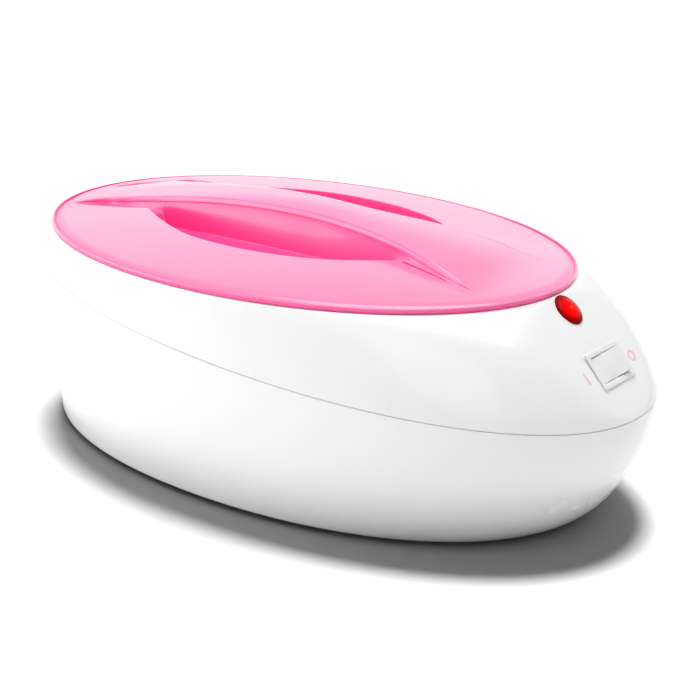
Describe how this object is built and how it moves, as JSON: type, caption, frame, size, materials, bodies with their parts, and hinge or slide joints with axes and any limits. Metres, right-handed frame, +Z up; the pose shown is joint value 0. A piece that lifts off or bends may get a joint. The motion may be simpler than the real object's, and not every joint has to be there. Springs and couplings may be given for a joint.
{
  "type": "paraffin wax bath",
  "caption": "Oval home paraffin bath with a hung heated tank, lift-off lid with an arched strap handle, sloped panel with lamp and rocker switch.",
  "frame": {"origin": "centre of the housing's plan at the surface it stands on", "axes": "+X along the length towards the control panel, +Z up"},
  "size_m": [0.3828, 0.23, 0.1416],
  "materials": {
    "white_housing": "glossy white moulded ABS",
    "pink_lid": "translucent pink moulded plastic, polished",
    "tank_aluminium": "drawn aluminium, satin",
    "silicone": "soft silicone, matt",
    "heater_steel": "heat-tinted steel sheath",
    "bright_steel": "zinc plated steel",
    "plate_aluminium": "sheet aluminium, mill finish",
    "glass_fibre": "woven glass fibre, matt",
    "thermostat_body": "dark phenolic",
    "red_lens": "translucent red, polished",
    "lamp_glass": "clear glass, neon glow",
    "holder_plastic": "natural nylon",
    "switch_white": "satin white plastic",
    "brass_blades": "plain brass",
    "block_plastic": "natural nylon",
    "gland_plastic": "white nylon",
    "lead_insulation": "silicone-covered wire",
    "foot_rubber": "grey rubber, matt"
  },
  "bodies": {
    "bath": {"lower_housing": "white_housing", "upper_housing": "white_housing", "wax_tank": "tank_aluminium", "tank_gasket": "silicone", "heater_plate": "plate_aluminium", "heater_element": "heater_steel", "heater_clips": "bright_steel", "heater_studs": "bright_steel", "heater_nuts": "bright_steel", "insulation_blanket": "glass_fibre", "insulation_pad": "glass_fibre", "heat_shield": "plate_aluminium", "support_bars": "bright_steel", "thermostat": "thermostat_body", "thermal_fuse": "bright_steel", "fuse_clip": "bright_steel", "lamp_lens": "red_lens", "lamp_holder": "holder_plastic", "lamp_bulb": "lamp_glass", "lamp_resistor": "block_plastic", "switch_body": "switch_white", "switch_terminals": "brass_blades", "cord_gland": "gland_plastic", "terminal_block": "block_plastic", "terminal_screws": "brass_blades", "lead_supply": "lead_insulation", "lead_switched": "lead_insulation", "lead_return": "lead_insulation", "lead_lamp": "lead_insulation", "feet": "foot_rubber", "housing_screws": "bright_steel"},
    "lid": {"lid": "pink_lid"},
    "rocker": {"switch_rocker": "switch_white"}
  },
  "joints": [
    {"name": "lid_lift", "type": "slide", "parent": "bath", "child": "lid", "axis": [0, 0, 1], "range_m": [0, 0.15]},
    {"name": "rocker_tilt", "type": "hinge", "parent": "bath", "child": "rocker", "pos_m": [0.17301, 0, 0.08858], "axis": [-0.6521, 0, 0.7581], "range_deg": [0, 22]}
  ]
}
